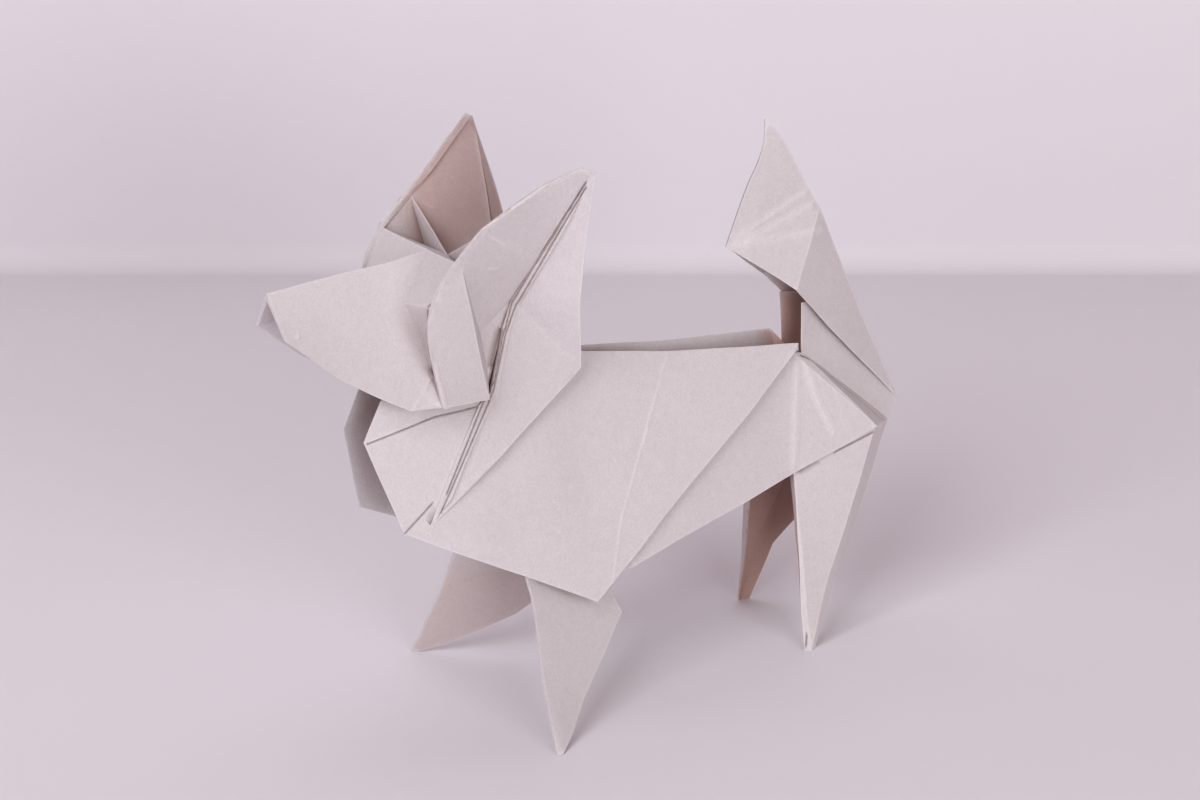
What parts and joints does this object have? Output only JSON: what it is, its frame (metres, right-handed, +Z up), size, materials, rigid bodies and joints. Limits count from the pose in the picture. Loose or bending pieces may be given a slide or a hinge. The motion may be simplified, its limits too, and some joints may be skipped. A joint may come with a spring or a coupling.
{
  "type": "origami dog",
  "caption": "Paper dog folded from one sheet, standing on four pointed legs, with a long snout, tall ears and a raised tail.",
  "frame": {"origin": "on the surface the dog stands on, under the centre of its bounding box", "axes": "-X points the way the dog faces, +X to its tail, +Y to its right side, +Z up"},
  "size_m": [0.1238, 0.049, 0.0978],
  "materials": {
    "folded_paper": "matte uncoated paper, off-white"
  },
  "bodies": {
    "root": {"folded_sheet": "folded_paper"}
  },
  "joints": []
}
